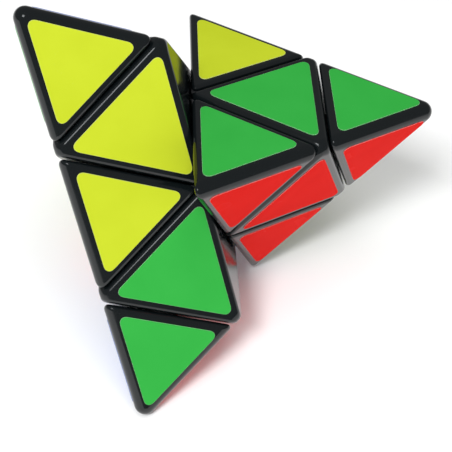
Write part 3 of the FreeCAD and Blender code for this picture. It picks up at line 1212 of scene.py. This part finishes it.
class AxialMoulding(Moulding):
    """Hollow octahedron: open to the bowl below, with a round hole in its top plate."""

    title = "axial"
    opposite = (1, 2, 3)
    edge_factor = 1 / math.sqrt(2)
    top_plate = 0.0024
    plug_hole = 0.00438
    hole_lead = 0.0003
    corner_loss = 0.0010

    def cuts(self) -> list[Cut]:
        """The tip's cut, the layer's own cut and the cuts of the other three layers."""
        sizes = self.sizes
        deep = [Cut(corner, sizes.deep_cut - sizes.gap, False) for corner in (1, 2, 3)]
        return [Cut(0, sizes.deep_cut + sizes.gap, True),
                Cut(0, sizes.tip_cut - sizes.gap, False), *deep]

    def trims(self) -> list[tuple[Vector, float]]:
        """Take off the three points at the middles of the pyramid's faces.

        Returns:
            Direction and distance of each plane.
        """
        middle = AXES[0] * (self.sizes.deep_cut + self.sizes.tip_cut) / 2
        planes = []
        for corner in self.opposite:
            point = AXES[corner] * -self.sizes.face
            way = (point - middle).normalized()
            planes.append((way, way.dot(point) - self.corner_loss))
        return planes

    def shell(self) -> Workpiece:
        """Outer shape less the space inside, the bowl and the hole.

        Returns:
            The workpiece to copy.
        """
        sizes = self.sizes
        piece = self.outside()
        below, above, *beside = self.cuts()
        walls = [plane.moved_in(sizes.wall) for plane in (*self.faces(), below, *beside)]
        piece.carve(self.hollow([*walls, above.moved_in(self.top_plate)]))
        piece.carve(Workpiece.ball("axial_bowl", sizes.bowl_radius))
        low = above.reach - 2 * self.top_plate
        piece.carve(Workpiece.rod("axial_hole", self.plug_hole, low, sizes.tip_cut))
        inside = self.plug_hole + ON_PLANE
        piece.soften(lambda edge: above.holds(edge) and all(
            spot.co.xy.length < inside for spot in edge.verts), self.hole_lead, 2)
        piece.smooth()
        return piece


class EdgeMoulding(Moulding):
    """Hollow edge cap with two outer faces, seated on its foot along a sphere."""

    title = "edge"
    opposite = (2, 3)

    def cuts(self) -> list[Cut]:
        """The cuts below the two layers that share the edge."""
        sizes = self.sizes
        return [Cut(corner, sizes.deep_cut + sizes.gap, True) for corner in (0, 1)]

    def shell(self) -> Workpiece:
        """Outer shape less the space inside and the seat.

        Returns:
            The workpiece to copy.
        """
        piece = self.outside()
        inner = [plane.moved_in(self.sizes.wall) for plane in (*self.faces(), *self.cuts())]
        piece.carve(self.hollow(inner))
        piece.carve(Workpiece.ball("edge_seat", self.sizes.seat_radius))
        piece.smooth()
        return piece


class Shells:
    """The fourteen outer mouldings."""

    def __init__(self, sizes: PuzzleSizes, place: RestingPlace, finishes: Finishes) -> None:
        """Keep what the pieces need.

        Args:
            sizes: Sizes of the puzzle.
            place: Where the core's frame lies.
            finishes: The materials.
        """
        self.sizes = sizes
        self.place = place
        self.finishes = finishes

    def build(self) -> None:
        """Model one of each kind and copy it to its places."""
        corners = {corner.place: (corner.value,) for corner in Corner}
        edges = {place: pair for pair, place in EDGE_PLACES.items()}
        self.copies(TipMoulding(self.sizes), corners)
        self.copies(AxialMoulding(self.sizes), corners)
        self.copies(EdgeMoulding(self.sizes), edges)

    def copies(self, moulding: Moulding, places: dict[str, tuple[int, ...]]) -> None:
        """Copy a moulding to its places.

        Args:
            moulding: The kind of moulding.
            places: The corners that each piece belongs to, by the name of its place.
        """
        master = moulding.shell()
        for place_name, corners in places.items():
            label = f"{moulding.title}_{place_name}"
            body = label if moulding.title == "tip" else Body.of(corners).value
            turn = corner_turn(*corners) if len(corners) == 1 else edge_turn(*corners)
            piece = master.copy_to(f"{label}_moulding", self.place.of(corners) @ turn)
            mount(piece, body, "shell_plastic", self.finishes.shell, f"{label}_shell")
        master.discard()


# ------------------------------------------------------------------------- stickers

@dataclass(frozen=True)
class StickerCut:
    """One size of die-cut film: a triangle with one margin unlike the other two."""

    title: str
    odd_margin: float
    other_margin: float
    thickness: float = 0.00014
    corner: float = 0.0014
    corner_fit: float = 1.06
    corner_steps: int = 10
    edge_softness: float = 0.00005
    edge_steps: int = 2
    crease: float = math.radians(40)

    def shift(self) -> float:
        """How far the film's middle lies towards its odd side."""
        return 2 * (self.other_margin - self.odd_margin) / 3

    def blank(self, sizes: PuzzleSizes) -> Workpiece:
        """Cut the film, lying on the XY plane with its odd side towards -X.

        Args:
            sizes: Sizes of the puzzle.

        Returns:
            The workpiece to copy.
        """
        radius = sizes.third - 2 * (self.odd_margin + 2 * self.other_margin) / 3
        deselect()
        bpy.ops.mesh.primitive_cylinder_add(
            vertices=3, radius=radius, depth=self.thickness,
            location=(0, 0, self.thickness / 2), rotation=(0, 0, -math.pi / 2))
        film = Workpiece.just_added(f"film_{self.title}")

        def upright(edge: Edge) -> bool:
            """Whether the edge stands square to the film."""
            return abs(edge.verts[0].co.z - edge.verts[1].co.z) > self.thickness / 2

        def on_rim(edge: Edge) -> bool:
            """Whether the edge bounds the film's top."""
            return all(spot.co.z > self.thickness - ON_PLANE for spot in edge.verts)

        film.soften(upright, self.corner_fit * self.corner * math.sqrt(3),
                    self.corner_steps)
        film.soften(on_rim, self.edge_softness, self.edge_steps)
        film.smooth(self.crease)
        return film


TIP_FILM = StickerCut("tip", 0.00246, 0.00327)
AXIAL_FILM = StickerCut("axial", 0.00195, 0.00173)
EDGE_FILM = StickerCut("edge", 0.0036, 0.00235)


class Stickers:
    """The thirty-six films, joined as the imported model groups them."""

    def __init__(self, sizes: PuzzleSizes, place: RestingPlace, finishes: Finishes) -> None:
        """Cut one film of each size.

        Args:
            sizes: Sizes of the puzzle.
            place: Where the core's frame lies.
            finishes: The materials.
        """
        self.sizes = sizes
        self.place = place
        self.finishes = finishes
        self.bundles: dict[str, list[bpy.types.Object]] = {}
        self.homes: dict[str, tuple[str, Film]] = {}

    def spot(self, face: int, pointing: Vector, centre: float) -> Matrix:
        """Place of a film on an outer face.

        Args:
            face: Number of the face.
            pointing: Direction in which the film's odd side looks.
            centre: How far the film's middle lies from the face's middle that way.

        Returns:
            The place in the core's frame.
        """
        outward = -AXES[face]
        level = (pointing - outward * pointing.dot(outward)).normalized()
        middle = outward * self.sizes.face + level * centre
        return from_columns(-level, outward.cross(-level), outward, middle)

    def lay(self, master: Workpiece, label: str, body: str, film: Film,
            place: Matrix) -> None:
        """Copy a film to its place and put it in its bundle.

        Args:
            master: The film to copy.
            label: Name of the node that the bundle stands for.
            body: Body that it rides on.
            film: Its colour.
            place: Its place.
        """
        self.homes[label] = (body, film)
        bundle = self.bundles.setdefault(label, [])
        bundle.append(master.copy_to(f"{label}_{len(bundle)}", place))

    def build(self) -> None:
        """Lay every film and join the bundles."""
        tip, axial, edge = (cut.blank(self.sizes)
                            for cut in (TIP_FILM, AXIAL_FILM, EDGE_FILM))
        third = self.sizes.third
        for corner in Corner:
            number = corner.value
            home = Body.of((number,))
            frame = self.place.of((number,))
            for face, film in CORNER_FILMS[number].items():
                spot = self.spot(face, AXES[number], third + AXIAL_FILM.shift())
                self.lay(axial, f"stickers_{home.group}_{film.label}", home.value, film,
                         frame @ spot)
                spot = self.spot(face, -AXES[number], TIP_FILM.shift() - 2 * third)
                self.lay(tip, f"sticker_tip_{corner.place}_{film.label}",
                         f"tip_{corner.place}", film, frame @ spot)
        for pair, films in EDGE_FILMS.items():
            home = Body.of(pair)
            pointing = AXES[pair[0]] + AXES[pair[1]]
            for face, film in films.items():
                spot = self.spot(face, pointing, third + EDGE_FILM.shift())
                self.lay(edge, f"stickers_{home.group}_{film.label}", home.value, film,
                         self.place.of(pair) @ spot)
        for label, bundle in self.bundles.items():
            body, film = self.homes[label]
            piece = join(label.replace("sticker", "film"), bundle)
            mount(piece, body, f"sticker_{film.label}", self.finishes.films[film], label)
        for master in (tip, axial, edge):
            master.discard()


# ------------------------------------------------------------------------ mechanism

@dataclass
class Mechanism:
    """Core, hubs, feet, plugs, screws, washers and springs, kept as they are packed."""

    finishes: Finishes
    kinds: dict[str, str] = field(default_factory=lambda: {
        "core": "inner", "hub": "inner", "foot": "inner", "plug": "inner",
        "screws": "zinc", "washers": "zinc", "spring": "spring"})

    def dress(self, nodes: dict[str, bpy.types.Object]) -> None:
        """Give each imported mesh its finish.

        Args:
            nodes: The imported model's nodes by name.
        """
        for name, node in nodes.items():
            words = name.split("_")
            kind = next((self.kinds[word] for word in words if word in self.kinds), None)
            if kind is None:
                continue
            material = getattr(self.finishes, kind)
            if not node.material_slots:
                node.data.materials.append(material)
            for slot in node.material_slots:
                slot.material = material
            LOG.info("%s keeps its packed mesh, finished as %s", name, material.name)


# --------------------------------------------------------------------------- studio

@dataclass(frozen=True)
class Softbox:
    """A square area light that looks at the puzzle."""

    name: str
    azimuth: float
    elevation: float
    distance: float
    width: float
    power: float
    colour: tuple = (1.0, 1.0, 1.0)
    in_reflections: bool = True

    def hang(self, aim: Vector) -> None:
        """Hang the light.

        Args:
            aim: What it looks at.
        """
        light = bpy.data.lights.new(self.name, "AREA")
        light.shape = "SQUARE"
        light.size = self.width
        light.energy = self.power
        light.color = self.colour
        lamp = bpy.data.objects.new(self.name, light)
        bpy.context.scene.collection.objects.link(lamp)
        way = direction(self.azimuth, self.elevation)
        lamp.location = aim + way * self.distance
        lamp.visible_glossy = self.in_reflections
        lamp.rotation_euler = way.to_track_quat("Z", "Y").to_euler()


def direction(azimuth: float, elevation: float) -> Vector:
    """Unit vector from the puzzle at an azimuth from -Y and an elevation, in degrees."""
    turn, rise = math.radians(azimuth), math.radians(elevation)
    return Vector((math.sin(turn) * math.cos(rise), -math.cos(turn) * math.cos(rise),
                   math.sin(rise)))


@dataclass(frozen=True)
class Studio:
    """Pale floor, soft lights and the camera."""

    floor_width: float = 6.0
    floor_colour: tuple = (0.95, 0.95, 0.95)
    floor_glow: float = 0.05
    floor_roughness: float = 0.7
    floor_tone: float = 0.985
    floor_grain: float = 1e-6
    backdrop: float = 0.96
    ambient: float = 0.29
    reflected: float = 0.20
    aim: tuple = (-0.00039, -0.01444, 0.028)
    azimuth: float = -7.919
    elevation: float = 50.111
    roll: float = 5.321
    distance: float = 0.29584
    lens: float = 100.854
    sensor: float = 36.0
    nearest: float = 0.01
    softboxes: tuple[Softbox, ...] = (
        Softbox("main_softbox", azimuth=-36.0, elevation=56.0, distance=1.3, width=0.3,
                power=10.2, in_reflections=False),
        Softbox("top_softbox", azimuth=0.0, elevation=86.0, distance=1.3, width=0.6,
                power=4.3, in_reflections=False),
        Softbox("line_softbox", azimuth=-27.0, elevation=56.0, distance=1.3, width=0.4,
                power=3.2, colour=(0.94, 0.975, 1.0)),
        Softbox("fill_softbox", azimuth=25.0, elevation=4.0, distance=1.2, width=0.8,
                power=3.6, in_reflections=False),
    )

    def build(self) -> None:
        """Set up the floor, the lights, the world and the camera."""
        self.floor()
        for softbox in self.softboxes:
            softbox.hang(Vector(self.aim))
        self.surroundings()
        self.camera()
        bpy.context.scene.view_settings.view_transform = "Standard"

    def floor(self) -> None:
        """Lay the floor at table height."""
        deselect()
        bpy.ops.mesh.primitive_plane_add(size=self.floor_width)
        floor = Workpiece.just_added("studio_floor").obj
        material, graph, shader = new_material("studio_floor", {
            "Roughness": self.floor_roughness, "Emission Color": (1.0, 1.0, 1.0, 1.0),
            "Emission Strength": self.floor_glow})
        where = graph.add("ShaderNodeTexCoord").outputs["Object"]
        tone = graph.noise(where, 3.0, 2.0)
        darker = tuple(self.floor_tone * part for part in self.floor_colour)
        colour = graph.blend(tone, self.floor_colour, darker)
        connect(graph, shader, graph.noise(where, 600.0, 2.0), self.floor_grain,
                Base_Color=colour)
        floor.data.materials.append(material)

    def surroundings(self) -> None:
        """Even light all round: a pale backdrop to the camera, and dim in reflections."""
        world = bpy.data.worlds.new("studio_world")
        world.use_nodes = True
        graph = Graph(world.node_tree)
        path = graph.add("ShaderNodeLightPath").outputs
        lit = graph.stretch(path["Is Glossy Ray"], 0.0, 1.0, self.ambient, self.reflected)
        strength = graph.math("MAXIMUM", lit, graph.math("MULTIPLY", path["Is Camera Ray"],
                                                         self.backdrop))
        background = world.node_tree.nodes["Background"]
        background.inputs["Color"].default_value = (1.0, 1.0, 1.0, 1.0)
        graph.tree.links.new(strength, background.inputs["Strength"])
        bpy.context.scene.world = world

    def camera(self) -> None:
        """Put the camera at its place."""
        optics = bpy.data.cameras.new("studio_camera")
        camera = bpy.data.objects.new("studio_camera", optics)
        bpy.context.scene.collection.objects.link(camera)
        back = direction(self.azimuth, self.elevation)
        level = Vector((-back.y, back.x, 0.0)).normalized()
        upright = from_columns(level, back.cross(level), back,
                               Vector(self.aim) + back * self.distance)
        camera.matrix_world = upright @ Matrix.Rotation(math.radians(self.roll), 4, "Z")
        optics.lens = self.lens
        optics.sensor_width = self.sensor
        optics.clip_start = self.nearest
        bpy.context.scene.camera = camera


# ----------------------------------------------------------------------------- main


def main() -> None:
    """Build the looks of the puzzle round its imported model."""
    logging.basicConfig(level=logging.INFO, format="%(name)s: %(message)s")
    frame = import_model()
    sizes = PuzzleSizes()
    place = RestingPlace(frame["joints"], sizes)
    finishes = Finishes()
    Shells(sizes, place, finishes).build()
    Stickers(sizes, place, finishes).build()
    Mechanism(finishes).dress(frame["nodes"])
    Studio().build()


if __name__ == "__main__":
    main()
